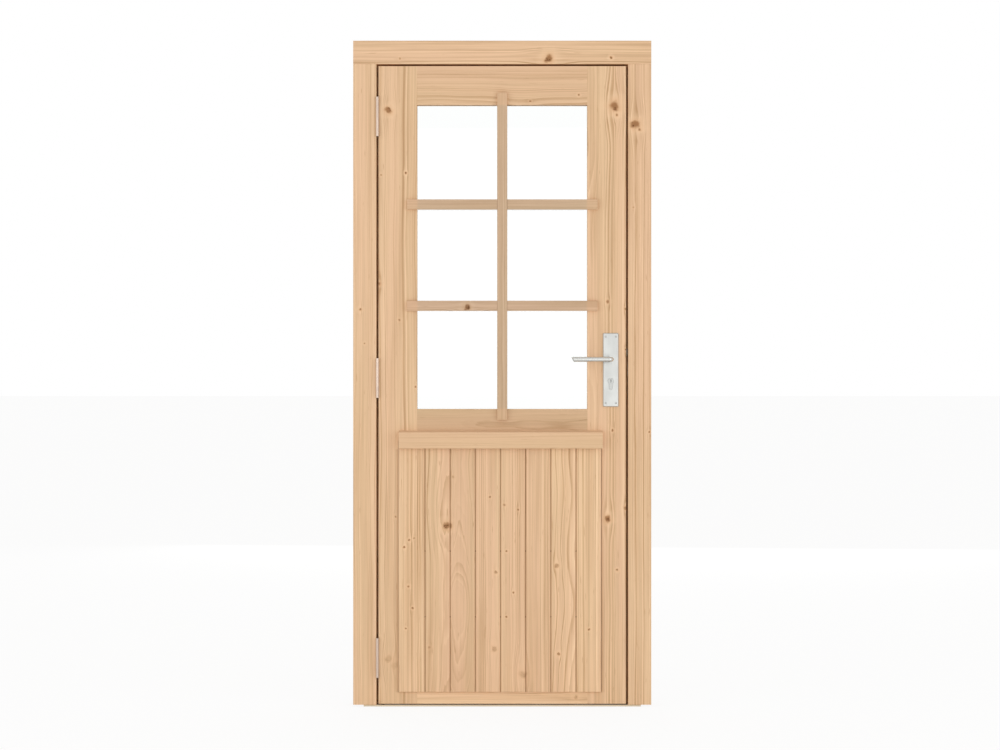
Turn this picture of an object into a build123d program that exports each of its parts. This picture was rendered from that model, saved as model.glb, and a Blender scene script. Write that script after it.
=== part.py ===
from build123d import *
import math
import os

# Glazed timber door hung in a grooved timber wall frame, in millimetres.
# X runs across the door, Y from outside to inside and Z up.
# The origin is the middle of the threshold's underside, in the middle of the wall's thickness.

# Clearances and edges
overrun = 5.0
fit = 0.05
play = 0.3
arris = 1.2

# Frame
frame_width = 853.0
frame_height = 1905.0
frame_depth = 87.0
jamb_face = 66.5
head_face = 67.0
trim_thickness = 21.0
groove_depth = 30.0
stop_width = 20.0
stop_gap = 2.0
threshold_thickness = 5.0
threshold_edge = 1.0

# Leaf
leaf_gap = 6.0
leaf_rise = 3.0
leaf_thickness = 40.0
stile_width = 110.5
top_rail_height = 111.0
middle_rail_height = 113.0
bottom_rail_height = 113.0
sill_height = 843.0
tenon_length = 45.0
tenon_thickness = 12.0
tenon_shoulder = 16.0
tenon_cover = 4.0

# Boarded panel and drip bar
board_count = 8
first_board_extra = 4.6
board_thickness = 16.0
board_proud = 6.0
board_joint = 0.5
board_vee = 2.2
tongue_length = 6.0
tongue_thickness = 5.0
tongue_slack = 0.4
panel_left_lap = 53.5
panel_right_lap = 39.5
panel_foot = 34.5
rebate_gap = 1.0
drip_left_inset = 1.5
drip_right_over = 4.0
drip_drop = 61.2
drip_height = 51.5
drip_depth = 24.0
drip_lap = 20.0
drip_fall = 5.0
drip_nose = 3.0
drip_top_round = 2.5
drip_kerf = 4.0

# Glazing
glass_lip = 14.0
glass_rebate = 12.0
glass_bite = 10.0
glass_thickness = 4.0
tape_thickness = 2.0
tape_width = 8.0
bead_bevel = 8.0
lattice_width = 29.0
lattice_thickness = 9.0
lattice_side_lap = 29.0
lattice_top_lap = 34.5
lattice_foot_lap = 30.5
lattice_bar_shares = {"upper": 0.3277, "lower": 0.6606}
lattice_slack = 0.1

# Lift-off hinges
lower_hinge_rise = 131.5
upper_hinge_drop = 144.5
middle_hinge_share = 0.517
hinge_length = 113.0
hinge_let_in = 1.5
hinge_plate = 2.0
hinge_reach = 30.0
hinge_pin_radius = 2.5
hinge_cap = 4.0
knuckle_gap = 0.4

# Lock
handle_height = 985.0
backset = 43.5
cylinder_drop = 62.0
forend_width = 20.0
forend_thickness = 3.0
forend_rise = 80.0
forend_fall = 115.0
case_thickness = 15.0
case_wall = 1.5
case_rise = 55.0
case_fall = 95.0
case_back = 17.0
case_slack = 0.5
latch_low = 11.0
latch_height = 20.0
latch_width = 11.0
latch_body = 28.0
latch_projection = 5.0
latch_bevel = 8.0
latch_tail = 7.0
latch_lug = 4.0
lug_gap = 2.0
bolt_drop = 30.0
bolt_height = 26.0
bolt_width = 9.0
bolt_length = 36.0
bolt_recess = 0.5
strike_thickness = 2.0
strike_slack = 1.0
strike_pocket = 22.0
follower_radius = 9.0
follower_boss = 7.0
follower_arm = 14.0
follower_arm_width = 5.0
spindle_width = 8.0
spindle_hole_radius = 10.0

# Profile cylinder
cylinder_radius = 8.5
cylinder_height = 33.0
cylinder_tail = 10.0
cylinder_proud = 1.5
cylinder_slack = 0.4
plug_radius = 6.5
cam_width = 10.0
cam_radius = 7.8
cam_reach = 13.5
cam_lug = 7.0
cam_gap = 0.6
keyway_width = 2.6
keyway_height = 9.0
keyway_depth = 16.0

# Handles
backplate_width = 44.5
backplate_height = 210.5
backplate_thickness = 4.0
backplate_corner = 3.0
backplate_bevel = 1.8
backplate_drop = 30.0
lever_radius = 7.0
lever_length = 111.0
lever_stand = 48.0
lever_bend = 12.0
lever_slant = 8.0
collar_radius = 9.0
collar_height = 9.0
socket_depth = 26.0

# Places worked out from the sizes above
half_frame = frame_width / 2
jamb_inner = half_frame - jamb_face
stop_inner = jamb_inner - stop_width
front_y = -frame_depth / 2
back_y = frame_depth / 2
groove_front_y = front_y + trim_thickness
groove_back_y = back_y - trim_thickness
head_under = frame_height - head_face
groove_floor = frame_height - groove_depth
leaf_half = jamb_inner - leaf_gap
leaf_bottom = threshold_thickness + leaf_rise
leaf_top = head_under - leaf_gap
leaf_height = leaf_top - leaf_bottom
leaf_back_y = front_y + leaf_thickness
leaf_mid_y = front_y + leaf_thickness / 2
stop_y = leaf_back_y + stop_gap
rail_half = leaf_half - stile_width
glass_low = leaf_bottom + sill_height
glass_high = leaf_top - top_rail_height
middle_rail_low = glass_low - middle_rail_height
bottom_rail_high = leaf_bottom + bottom_rail_height
rebate_depth = board_thickness - board_proud
panel_left = -rail_half - panel_left_lap
panel_right = rail_half + panel_right_lap
board_cover = (panel_right - panel_left - first_board_extra) / board_count
panel_low = leaf_bottom + panel_foot
drip_left = panel_left + drip_left_inset
drip_right = panel_right + drip_right_over
drip_high = glass_low - drip_drop
drip_low = drip_high - drip_height
panel_high = drip_low + drip_lap
board_front_y = front_y - board_proud
board_back_y = front_y + rebate_depth
tenon_front_y = board_back_y + tenon_cover
tenon_back_y = tenon_front_y + tenon_thickness
tape_y = front_y + glass_lip
glass_front_y = tape_y + tape_thickness
glass_back_y = glass_front_y + glass_thickness
hinge_radius = leaf_gap / 2 + hinge_let_in
hinge_x = -jamb_inner + leaf_gap / 2
hinge_y = front_y - hinge_radius
lower_hinge_z = leaf_bottom + lower_hinge_rise
upper_hinge_z = leaf_top - upper_hinge_drop
hinge_levels = {
    "lower": lower_hinge_z,
    "middle": lower_hinge_z + middle_hinge_share * (upper_hinge_z - lower_hinge_z),
    "upper": upper_hinge_z,
}
handle_x = leaf_half - backset
handle_z = leaf_bottom + handle_height
cylinder_z = handle_z - cylinder_drop
case_front_x = leaf_half - forend_thickness
case_back_x = handle_x - case_back
case_front_y = leaf_mid_y - case_thickness / 2
case_back_y = leaf_mid_y + case_thickness / 2
latch_bottom = handle_z + latch_low
latch_top = latch_bottom + latch_height
bolt_bottom = handle_z - bolt_drop - bolt_height / 2
bolt_top = bolt_bottom + bolt_height
plate_z = handle_z - backplate_drop
outer_plate_y = front_y - backplate_thickness
inner_plate_y = leaf_back_y + backplate_thickness
cylinder_front_y = outer_plate_y - cylinder_proud
cylinder_back_y = inner_plate_y + cylinder_proud


def save(piece, name):
    """Name a finished piece and write it."""
    piece.part.label = name
    export_step(piece.part, f"parts/{name}.step")


def block(corner, opposite, mode=Mode.ADD):
    """A rectangular block between two opposite corners."""
    low = [min(pair) for pair in zip(corner, opposite)]
    high = [max(pair) for pair in zip(corner, opposite)]
    sides = [b - a for a, b in zip(low, high)]
    with Locations(tuple(low)):
        Box(*sides, align=(Align.MIN, Align.MIN, Align.MIN), mode=mode)


def cut(corner, opposite):
    """Cut a rectangular pocket between two opposite corners."""
    block(corner, opposite, mode=Mode.SUBTRACT)


def euro_profile(grow=0.0):
    """Section of the profile cylinder: a round barrel over a narrow round-ended tail."""
    tail_round = cylinder_tail / 2
    tail_end = cylinder_height - cylinder_radius - tail_round
    with Locations((handle_x, cylinder_z)):
        Circle(cylinder_radius + grow)
    with Locations((handle_x, cylinder_z - tail_end / 2)):
        Rectangle(cylinder_tail + 2 * grow, tail_end)
    with Locations((handle_x, cylinder_z - tail_end)):
        Circle(tail_round + grow)


def jamb_body(side):
    """Grooved jamb with the stop behind the leaf, -1 on the hinge side and 1 on the lock side."""
    outline = [
        (half_frame, front_y),
        (jamb_inner, front_y),
        (jamb_inner, stop_y),
        (stop_inner, stop_y),
        (stop_inner, back_y),
        (half_frame, back_y),
        (half_frame, groove_back_y),
        (half_frame - groove_depth, groove_back_y),
        (half_frame - groove_depth, groove_front_y),
        (half_frame, groove_front_y),
    ]
    with BuildSketch(Plane.XY.offset(threshold_thickness)) as section:
        with BuildLine():
            Polyline(*[(side * x, y) for x, y in outline], close=True)
        make_face()
    extrude(section.sketch, amount=head_under - threshold_thickness)
    chamfer(edges().filter_by(Axis.Z).group_by(Axis.Y)[0], length=arris)
    chamfer(edges().filter_by(Axis.Z).group_by(Axis.Y)[-1], length=arris)


def hinge_recesses(side):
    """Shallow housings for the hinge plates, -1 in the jamb and 1 in the leaf."""
    edge = hinge_x + side * leaf_gap / 2
    for level in hinge_levels.values():
        low = level - hinge_length / 2
        cut(
            (edge - side * overrun, front_y - overrun, low),
            (edge + side * hinge_let_in, front_y + hinge_reach, low + hinge_length),
        )


def strike_outline():
    """Strike plate with its two bolt holes, drawn across the door's edge."""
    middle = handle_z + (forend_rise - forend_fall) / 2
    with Locations((leaf_mid_y, middle)):
        Rectangle(forend_width, forend_rise + forend_fall)
    strike_holes(Mode.SUBTRACT)


def strike_holes(mode=Mode.ADD):
    """The latch hole and the bolt hole."""
    slack = 2 * strike_slack
    with Locations((leaf_mid_y, (latch_bottom + latch_top) / 2)):
        Rectangle(latch_width + slack, latch_height + slack, mode=mode)
    with Locations((leaf_mid_y, (bolt_bottom + bolt_top) / 2)):
        Rectangle(bolt_width + slack, bolt_height + slack, mode=mode)


os.makedirs("parts", exist_ok=True)

# Frame
with BuildPart() as hinge_jamb:
    jamb_body(-1)
    hinge_recesses(-1)
save(hinge_jamb, "hinge_jamb")

with BuildPart() as lock_jamb:
    jamb_body(1)
    cut(
        (jamb_inner - overrun, leaf_mid_y - forend_width / 2, handle_z - forend_fall),
        (jamb_inner + strike_thickness, leaf_mid_y + forend_width / 2, handle_z + forend_rise),
    )
    with BuildSketch(Plane.YZ.offset(jamb_inner)):
        strike_holes()
    extrude(amount=strike_pocket, mode=Mode.SUBTRACT)
save(lock_jamb, "lock_jamb")

with BuildPart() as head:
    with BuildSketch(Plane.YZ.offset(-half_frame)):
        with BuildLine():
            Polyline(
                (front_y, head_under),
                (front_y, frame_height),
                (groove_front_y, frame_height),
                (groove_front_y, groove_floor),
                (groove_back_y, groove_floor),
                (groove_back_y, frame_height),
                (back_y, frame_height),
                (back_y, head_under - stop_width),
                (stop_y, head_under - stop_width),
                (stop_y, head_under),
                close=True,
            )
        make_face()
    extrude(amount=frame_width)
    chamfer(edges().filter_by(Axis.X).group_by(Axis.Y)[0], length=arris)
    for end in (-half_frame, half_frame):
        inward = math.copysign(groove_depth, -end)
        outward = math.copysign(overrun, end)
        cut(
            (end + outward, groove_front_y, head_under - overrun),
            (end + inward, groove_back_y, frame_height + overrun),
        )
        cut(
            (end + outward, stop_y - overrun, head_under - stop_width - overrun),
            (math.copysign(stop_inner, end), back_y + overrun, head_under),
        )
save(head, "head")

with BuildPart() as threshold:
    with BuildSketch(Plane.YZ.offset(groove_depth - half_frame)):
        with Locations((0, threshold_thickness / 2)):
            Rectangle(frame_depth, threshold_thickness)
        chamfer(vertices().group_by(Axis.Y)[-1], length=threshold_edge)
    extrude(amount=frame_width - 2 * groove_depth)
save(threshold, "threshold")

with BuildPart() as strike_plate:
    with BuildSketch(Plane.YZ.offset(jamb_inner)):
        strike_outline()
    extrude(amount=strike_thickness)
save(strike_plate, "strike_plate")


# Lift-off hinges: the frame half carries the pin, and the leaf half drops over it
def hinge_half(name, side, level):
    """One half of a hinge, -1 on the frame with the pin and 1 on the leaf with the bore."""
    low = level - hinge_length / 2
    high = level + hinge_length / 2
    knuckle_low = low if side < 0 else level + knuckle_gap / 2
    other_low = level - knuckle_gap / 2 if side < 0 else low
    knuckle_height = (hinge_length - knuckle_gap) / 2
    pin_end = high - hinge_cap
    outer_x = hinge_x + side * hinge_radius
    inner_x = outer_x - side * hinge_plate
    with BuildPart() as half:
        with BuildSketch(Plane.XY.offset(low)):
            with BuildLine():
                Polyline(
                    (outer_x, hinge_y),
                    (outer_x, front_y + hinge_reach),
                    (inner_x, front_y + hinge_reach),
                    (inner_x, hinge_y),
                    close=True,
                )
            make_face()
        extrude(amount=hinge_length)
        with BuildSketch(Plane.XY.offset(other_low)):
            with Locations((hinge_x, hinge_y)):
                Circle(hinge_radius + knuckle_gap)
        extrude(amount=knuckle_height + knuckle_gap, mode=Mode.SUBTRACT)
        with BuildSketch(Plane.XY.offset(knuckle_low)):
            with Locations((hinge_x, hinge_y)):
                Circle(hinge_radius)
        extrude(amount=knuckle_height)
        slack = 0 if side < 0 else fit
        with BuildSketch(Plane.XY.offset(level - knuckle_gap)):
            with Locations((hinge_x, hinge_y)):
                Circle(hinge_pin_radius + slack)
        extrude(
            amount=pin_end - level + knuckle_gap + slack,
            mode=Mode.ADD if side < 0 else Mode.SUBTRACT,
        )
    save(half, name)


for place, level in hinge_levels.items():
    hinge_half(f"hinge_frame_half_{place}", -1, level)
    hinge_half(f"hinge_leaf_half_{place}", 1, level)

# Stiles and rails, mortised and tenoned, rebated for the panel in front and the glass behind
rails = {
    "top_rail": (glass_high, leaf_top),
    "middle_rail": (middle_rail_low, glass_low),
    "bottom_rail": (leaf_bottom, bottom_rail_high),
}


def panel_rebate():
    """The housing in the outer face that the boards lie in."""
    cut(
        (panel_left - rebate_gap, front_y - overrun, panel_low - rebate_gap),
        (panel_right + rebate_gap, board_back_y, panel_high + rebate_gap),
    )


def glass_housing():
    """The housing in the inner face that takes the tape, the glass and its beads."""
    cut(
        (-rail_half - glass_rebate, tape_y, glass_low - glass_rebate),
        (rail_half + glass_rebate, leaf_back_y + overrun, glass_high + glass_rebate),
    )


def stile_body(side):
    """Full-height stile, -1 on the hinge side and 1 on the lock side."""
    with BuildSketch(Plane.XY.offset(leaf_bottom)) as section:
        with Locations((side * (leaf_half - stile_width / 2), leaf_mid_y)):
            Rectangle(stile_width, leaf_thickness)
        outer_corners = vertices().sort_by(Axis.X)[:2] if side < 0 else vertices().sort_by(Axis.X)[2:]
        chamfer(outer_corners, length=arris)
    extrude(section.sketch, amount=leaf_height)
    panel_rebate()
    glass_housing()
    for low, high in rails.values():
        cut(
            (side * rail_half, tenon_front_y, low + tenon_shoulder),
            (side * (rail_half + tenon_length + play), tenon_back_y, high - tenon_shoulder),
        )


with BuildPart() as hinge_stile:
    stile_body(-1)
    hinge_recesses(1)
save(hinge_stile, "hinge_stile")

with BuildPart() as lock_stile:
    stile_body(1)
    cut(
        (case_front_x, leaf_mid_y - forend_width / 2, handle_z - forend_fall),
        (leaf_half + overrun, leaf_mid_y + forend_width / 2, handle_z + forend_rise),
    )
    cut(
        (case_back_x - case_slack, case_front_y - case_slack, handle_z - case_fall - case_slack),
        (leaf_half, case_back_y + case_slack, handle_z + case_rise + case_slack),
    )
    with BuildSketch(Plane.XZ.offset(-leaf_back_y)):
        euro_profile(2 * cylinder_slack)
        with Locations((handle_x, handle_z)):
            Circle(spindle_hole_radius)
    extrude(amount=leaf_thickness, mode=Mode.SUBTRACT)
save(lock_stile, "lock_stile")

for name, (low, high) in rails.items():
    with BuildPart() as rail:
        with BuildSketch(Plane.XZ.offset(-leaf_back_y)):
            with Locations((0, (low + high) / 2)):
                Rectangle(2 * rail_half, high - low)
        extrude(amount=leaf_thickness)
        panel_rebate()
        glass_housing()
        with BuildSketch(Plane.XZ.offset(-tenon_back_y)):
            with Locations((0, (low + high) / 2)):
                Rectangle(2 * (rail_half + tenon_length), high - low - 2 * tenon_shoulder)
        extrude(amount=tenon_thickness)
    save(rail, name)

# Tongued and grooved boards with a V at each joint
tongue_front_y = board_front_y + (board_thickness - tongue_thickness) / 2
tongue_back_y = tongue_front_y + tongue_thickness


def board_outline(index):
    """Section of one board: a groove on its left, a tongue on its right, plain at the panel's ends."""
    left = panel_left + (first_board_extra + index * board_cover if index else 0)
    right = panel_left + first_board_extra + (index + 1) * board_cover - board_joint
    front = [
        (left, board_front_y + board_vee),
        (left + board_vee, board_front_y),
        (right - board_vee, board_front_y),
        (right, board_front_y + board_vee),
    ]
    tongue = [
        (right, tongue_front_y),
        (right + tongue_length, tongue_front_y),
        (right + tongue_length, tongue_back_y),
        (right, tongue_back_y),
    ]
    back = [(right, board_back_y), (left, board_back_y)]
    groove_end = left + tongue_length
    groove = [
        (left, tongue_back_y + tongue_slack),
        (groove_end, tongue_back_y + tongue_slack),
        (groove_end, tongue_front_y - tongue_slack),
        (left, tongue_front_y - tongue_slack),
    ]
    is_last = index == board_count - 1
    return front + ([] if is_last else tongue) + back + (groove if index else [])


for index in range(board_count):
    with BuildPart() as board:
        with BuildSketch(Plane.XY.offset(panel_low)):
            with BuildLine():
                Polyline(*board_outline(index), close=True)
            make_face()
        extrude(amount=panel_high - panel_low)
    save(board, f"board_{index + 1}")

# Drip bar: sloped top, rounded nose, kerf underneath, stepped over the tops of the boards
drip_front_y = front_y - drip_depth
with BuildPart() as drip_bar:
    with BuildSketch(Plane.YZ.offset(drip_left)):
        with BuildLine():
            Polyline(
                (drip_front_y, drip_low),
                (drip_front_y, drip_high - drip_fall),
                (front_y, drip_high),
                (front_y, panel_high),
                (board_front_y, panel_high),
                (board_front_y, drip_low),
                close=True,
            )
        make_face()
        foot, brow = vertices().group_by(Axis.X)[0].sort_by(Axis.Y)
        fillet(foot, radius=drip_nose)
        fillet(brow, radius=drip_top_round)
    extrude(amount=drip_right - drip_left)
    kerf_y = (drip_front_y + drip_nose + board_front_y) / 2
    cut(
        (drip_left - overrun, kerf_y - drip_kerf / 2, drip_low - overrun),
        (drip_right + overrun, kerf_y + drip_kerf / 2, drip_low + drip_kerf),
    )
save(drip_bar, "drip_bar")

# Glazing lattice on the outer face: the upright runs through, the bars are halved behind it
lattice_front_y = front_y - lattice_thickness
lattice_mid_y = front_y - lattice_thickness / 2
half_lattice = lattice_width / 2
half_notch = half_lattice + lattice_slack
bar_levels = {
    name: glass_high - share * (glass_high - glass_low) for name, share in lattice_bar_shares.items()
}

with BuildPart() as lattice_upright:
    with BuildSketch(Plane.XY.offset(glass_low - lattice_foot_lap)):
        with Locations((0, lattice_mid_y)):
            Rectangle(lattice_width, lattice_thickness)
        chamfer(vertices().group_by(Axis.Y)[0], length=arris)
    extrude(amount=glass_high - glass_low + lattice_foot_lap + lattice_top_lap)
    for level in bar_levels.values():
        cut(
            (-lattice_width, lattice_mid_y, level - half_notch),
            (lattice_width, front_y + overrun, level + half_notch),
        )
save(lattice_upright, "lattice_upright")

for name, level in bar_levels.items():
    with BuildPart() as lattice_bar:
        with BuildSketch(Plane.YZ.offset(-rail_half - lattice_side_lap)):
            with Locations((lattice_mid_y, level)):
                Rectangle(lattice_thickness, lattice_width)
            chamfer(vertices().group_by(Axis.X)[0], length=arris)
        extrude(amount=2 * (rail_half + lattice_side_lap))
        cut(
            (-half_notch, lattice_front_y - overrun, level - lattice_width),
            (half_notch, lattice_mid_y, level + lattice_width),
        )
    save(lattice_bar, f"lattice_bar_{name}")

# Glass bedded on tape and held by mitred beads
glass_mid = (glass_low + glass_high) / 2
glass_width = 2 * rail_half
glass_height = glass_high - glass_low
tape_inset = glass_bite - tape_width

with BuildPart() as glass_pane:
    with BuildSketch(Plane.XZ.offset(-glass_back_y)):
        with Locations((0, glass_mid)):
            Rectangle(glass_width + 2 * glass_bite, glass_height + 2 * glass_bite)
    extrude(amount=glass_thickness)
save(glass_pane, "glass_pane")

with BuildPart() as glazing_tape:
    with BuildSketch(Plane.XZ.offset(-glass_front_y)):
        with Locations((0, glass_mid)):
            Rectangle(glass_width + 2 * glass_bite, glass_height + 2 * glass_bite)
            Rectangle(
                glass_width + 2 * tape_inset,
                glass_height + 2 * tape_inset,
                mode=Mode.SUBTRACT,
            )
    extrude(amount=tape_thickness)
save(glazing_tape, "glazing_tape")


def glazing_bead(name, corners, towards):
    """A bead with mitred ends, bevelled on the edge that faces the pane's middle."""
    with BuildPart() as bead:
        with BuildSketch(Plane.XZ.offset(-leaf_back_y)):
            with BuildLine():
                Polyline(*corners, close=True)
            make_face()
        extrude(amount=leaf_back_y - glass_back_y)
        inner_edge = edges().group_by(Axis.Y)[-1].sort_by_distance(towards)[0]
        chamfer(inner_edge, length=bead_bevel)
    save(bead, name)


opening = {
    "left": -rail_half,
    "right": rail_half,
    "bottom": glass_low,
    "top": glass_high,
}
housing = {
    "left": -rail_half - glass_rebate,
    "right": rail_half + glass_rebate,
    "bottom": glass_low - glass_rebate,
    "top": glass_high + glass_rebate,
}
pane_middle = (0, leaf_back_y, glass_mid)

for level in ("top", "bottom"):
    mitred = [
        (housing["left"], housing[level]),
        (housing["right"], housing[level]),
        (opening["right"], opening[level]),
        (opening["left"], opening[level]),
    ]
    glazing_bead(f"glazing_bead_{level}", mitred, pane_middle)

for flank in ("left", "right"):
    mitred = [
        (housing[flank], housing["bottom"]),
        (housing[flank], housing["top"]),
        (opening[flank], opening["top"]),
        (opening[flank], opening["bottom"]),
    ]
    glazing_bead(f"glazing_bead_{flank}", mitred, pane_middle)

# Mortise lock: a sheet case behind the forend, with its latch, bolt and follower
with BuildPart() as lock_forend:
    with BuildSketch(Plane.YZ.offset(case_front_x)):
        with Locations((leaf_mid_y, handle_z + (forend_rise - forend_fall) / 2)):
            Rectangle(forend_width, forend_rise + forend_fall)
        with Locations((leaf_mid_y, (latch_bottom + latch_top) / 2)):
            Rectangle(latch_width + 2 * play, latch_height + 2 * play, mode=Mode.SUBTRACT)
        with Locations((leaf_mid_y, (bolt_bottom + bolt_top) / 2)):
            Rectangle(bolt_width + 2 * play, bolt_height + 2 * play, mode=Mode.SUBTRACT)
    extrude(amount=forend_thickness)
save(lock_forend, "lock_forend")

with BuildPart() as lock_case:
    block(
        (case_back_x, case_front_y, handle_z - case_fall),
        (case_front_x, case_back_y, handle_z + case_rise),
    )
    cut(
        (case_back_x + case_wall, case_front_y + case_wall, handle_z - case_fall + case_wall),
        (case_front_x - case_wall, case_back_y - case_wall, handle_z + case_rise - case_wall),
    )
    with BuildSketch(Plane.YZ.offset(case_front_x - case_wall)):
        with Locations((leaf_mid_y, (latch_bottom + latch_top) / 2)):
            Rectangle(latch_width + 2 * play, latch_height + 2 * play)
        with Locations((leaf_mid_y, (bolt_bottom + bolt_top) / 2)):
            Rectangle(bolt_width + 2 * play, bolt_height + 2 * play)
    extrude(amount=case_wall, mode=Mode.SUBTRACT)
    with BuildSketch(Plane.XZ.offset(-case_back_y)):
        with Locations((handle_x, cylinder_z + cylinder_radius - cylinder_height / 2)):
            Rectangle(2 * (cylinder_radius + cylinder_slack), cylinder_height + 2 * cylinder_slack)
        with Locations((handle_x, handle_z)):
            Circle(follower_boss + fit)
    extrude(amount=case_thickness, mode=Mode.SUBTRACT)
save(lock_case, "lock_case")

with BuildPart() as latch_bolt:
    tip_x = leaf_half + latch_projection
    lug_face = handle_x - follower_arm_width / 2 - lug_gap
    with BuildSketch(Plane.XZ.offset(-leaf_mid_y - latch_width / 2)):
        with BuildLine():
            Polyline(
                (tip_x, latch_bottom),
                (tip_x, latch_top),
                (lug_face - latch_lug, latch_top),
                (lug_face - latch_lug, latch_bottom),
                (lug_face, latch_bottom),
                (lug_face, latch_top - latch_tail),
                (leaf_half - latch_body, latch_top - latch_tail),
                (leaf_half - latch_body, latch_bottom),
                close=True,
            )
        make_face()
    extrude(amount=latch_width)
    nose_y = leaf_mid_y - latch_width / 4
    with BuildSketch(Plane.XY.offset(latch_bottom)):
        with BuildLine():
            Polyline(
                (tip_x, nose_y),
                (tip_x, leaf_mid_y + latch_width / 2),
                (tip_x - latch_bevel, leaf_mid_y + latch_width / 2),
                close=True,
            )
        make_face()
    extrude(amount=latch_height, mode=Mode.SUBTRACT)
save(latch_bolt, "latch_bolt")

with BuildPart() as dead_bolt:
    bolt_tip = leaf_half - bolt_recess
    with BuildSketch(Plane.YZ.offset(bolt_tip - bolt_length)):
        with Locations((leaf_mid_y, (bolt_bottom + bolt_top) / 2)):
            Rectangle(bolt_width, bolt_height)
    extrude(amount=bolt_length)
    chamfer(edges().group_by(Axis.X)[-1], length=arris)
save(dead_bolt, "dead_bolt")

socket_half = spindle_width / 2 + fit
with BuildPart() as follower:
    with BuildSketch(Plane.XZ.offset(-leaf_mid_y)):
        with Locations((handle_x, handle_z)):
            Circle(follower_radius)
        with Locations((handle_x, handle_z + follower_arm / 2)):
            Rectangle(follower_arm_width, follower_arm)
    extrude(amount=case_thickness / 2 - case_wall - play, both=True)
    with BuildSketch(Plane.XZ.offset(-leaf_mid_y)):
        with Locations((handle_x, handle_z)):
            Circle(follower_boss)
    extrude(amount=case_thickness / 2, both=True)
    cut(
        (handle_x - socket_half, case_front_y - overrun, handle_z - socket_half),
        (handle_x + socket_half, case_back_y + overrun, handle_z + socket_half),
    )
save(follower, "follower")


# Profile cylinder: two plugs and a cam in a body that is open in the middle
with BuildPart() as cylinder_body:
    with BuildSketch(Plane.XZ.offset(-cylinder_back_y)):
        euro_profile()
        with Locations((handle_x, cylinder_z)):
            Circle(plug_radius + fit, mode=Mode.SUBTRACT)
    extrude(amount=cylinder_back_y - cylinder_front_y)
    window = cam_width / 2 + cam_gap
    cut(
        (handle_x - cylinder_height, leaf_mid_y - window, cylinder_z - cam_reach - cam_gap),
        (handle_x + cylinder_height, leaf_mid_y + window, cylinder_z + cylinder_height),
    )
save(cylinder_body, "cylinder_body")


def cylinder_plug(name, end_y):
    """A plug from the cylinder's end to the cam, with its keyway."""
    inward = math.copysign(1, leaf_mid_y - end_y)
    cam_y = leaf_mid_y - inward * cam_width / 2
    with BuildPart() as plug:
        with BuildSketch(Plane.XZ.offset(-end_y)):
            with Locations((handle_x, cylinder_z)):
                Circle(plug_radius)
        extrude(amount=-inward * abs(cam_y - end_y))
        cut(
            (handle_x - keyway_width / 2, end_y - inward * overrun, cylinder_z - keyway_height / 2),
            (handle_x + keyway_width / 2, end_y + inward * keyway_depth, cylinder_z + keyway_height / 2),
        )
    save(plug, name)


cylinder_plug("outer_plug", cylinder_front_y)
cylinder_plug("inner_plug", cylinder_back_y)

with BuildPart() as cylinder_cam:
    with BuildSketch(Plane.XZ.offset(-leaf_mid_y)):
        with Locations((handle_x, cylinder_z)):
            Circle(cam_radius)
        with Locations((handle_x, cylinder_z - cam_reach / 2)):
            Rectangle(cam_lug, cam_reach)
        fillet(vertices().group_by(Axis.Y)[0], radius=cam_lug / 4)
    extrude(amount=cam_width / 2, both=True)
save(cylinder_cam, "cylinder_cam")

# Backplates, levers and spindle
def backplate(name, face_y, outward):
    """A long bevelled plate with its lever hole and cylinder hole."""
    with BuildPart() as plate:
        with BuildSketch(Plane.XZ.offset(-face_y)):
            with Locations((handle_x, plate_z)):
                Rectangle(backplate_width, backplate_height)
            fillet(vertices(), radius=backplate_corner)
            with Locations((handle_x, handle_z)):
                Circle(collar_radius + play, mode=Mode.SUBTRACT)
        extrude(amount=-outward * backplate_thickness)
        rim = faces().sort_by(Axis.Y)[-1 if outward > 0 else 0].outer_wire().edges()
        chamfer(rim, length=backplate_bevel)
        with BuildSketch(Plane.XZ.offset(-face_y)):
            euro_profile(cylinder_slack)
        extrude(amount=-outward * backplate_thickness, mode=Mode.SUBTRACT)
    save(plate, name)


def lever(name, face_y, outward):
    """A round bar bent square to the door, with an oblique tip, on a collar with a square socket."""
    grip_y = face_y + outward * lever_stand
    root_y = face_y + outward * play
    tip_x = handle_x - lever_length
    with BuildPart() as grip:
        with BuildLine() as route:
            FilletPolyline(
                (handle_x, root_y, handle_z),
                (handle_x, grip_y, handle_z),
                (tip_x, grip_y, handle_z),
                radius=lever_bend,
            )
        with BuildSketch(Plane(origin=route.line @ 0, z_dir=route.line % 0)):
            Circle(lever_radius)
        sweep()
        with BuildSketch(Plane(origin=route.line @ 0, z_dir=route.line % 0)):
            Circle(collar_radius)
        extrude(amount=collar_height)
        with BuildSketch(Plane.XZ.offset(-grip_y)):
            with BuildLine():
                Polyline(
                    (tip_x, handle_z + lever_radius),
                    (tip_x + lever_slant, handle_z - lever_radius),
                    (tip_x, handle_z - lever_radius),
                    close=True,
                )
            make_face()
        extrude(amount=2 * lever_radius, both=True, mode=Mode.SUBTRACT)
        cut(
            (handle_x - socket_half, root_y - outward * overrun, handle_z - socket_half),
            (handle_x + socket_half, root_y + outward * socket_depth, handle_z + socket_half),
        )
    save(grip, name)


backplate("outer_backplate", front_y, -1)
backplate("inner_backplate", leaf_back_y, 1)
lever("outer_lever", front_y, -1)
lever("inner_lever", leaf_back_y, 1)

with BuildPart() as spindle:
    half_spindle = spindle_width / 2
    block(
        (handle_x - half_spindle, front_y - socket_depth, handle_z - half_spindle),
        (handle_x + half_spindle, leaf_back_y + socket_depth, handle_z + half_spindle),
    )
save(spindle, "spindle")
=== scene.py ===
"""Looks of a glazed timber door in its frame: spruce, satin metal, glass, screws and soft studio light."""

import math
from collections import namedtuple

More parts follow.
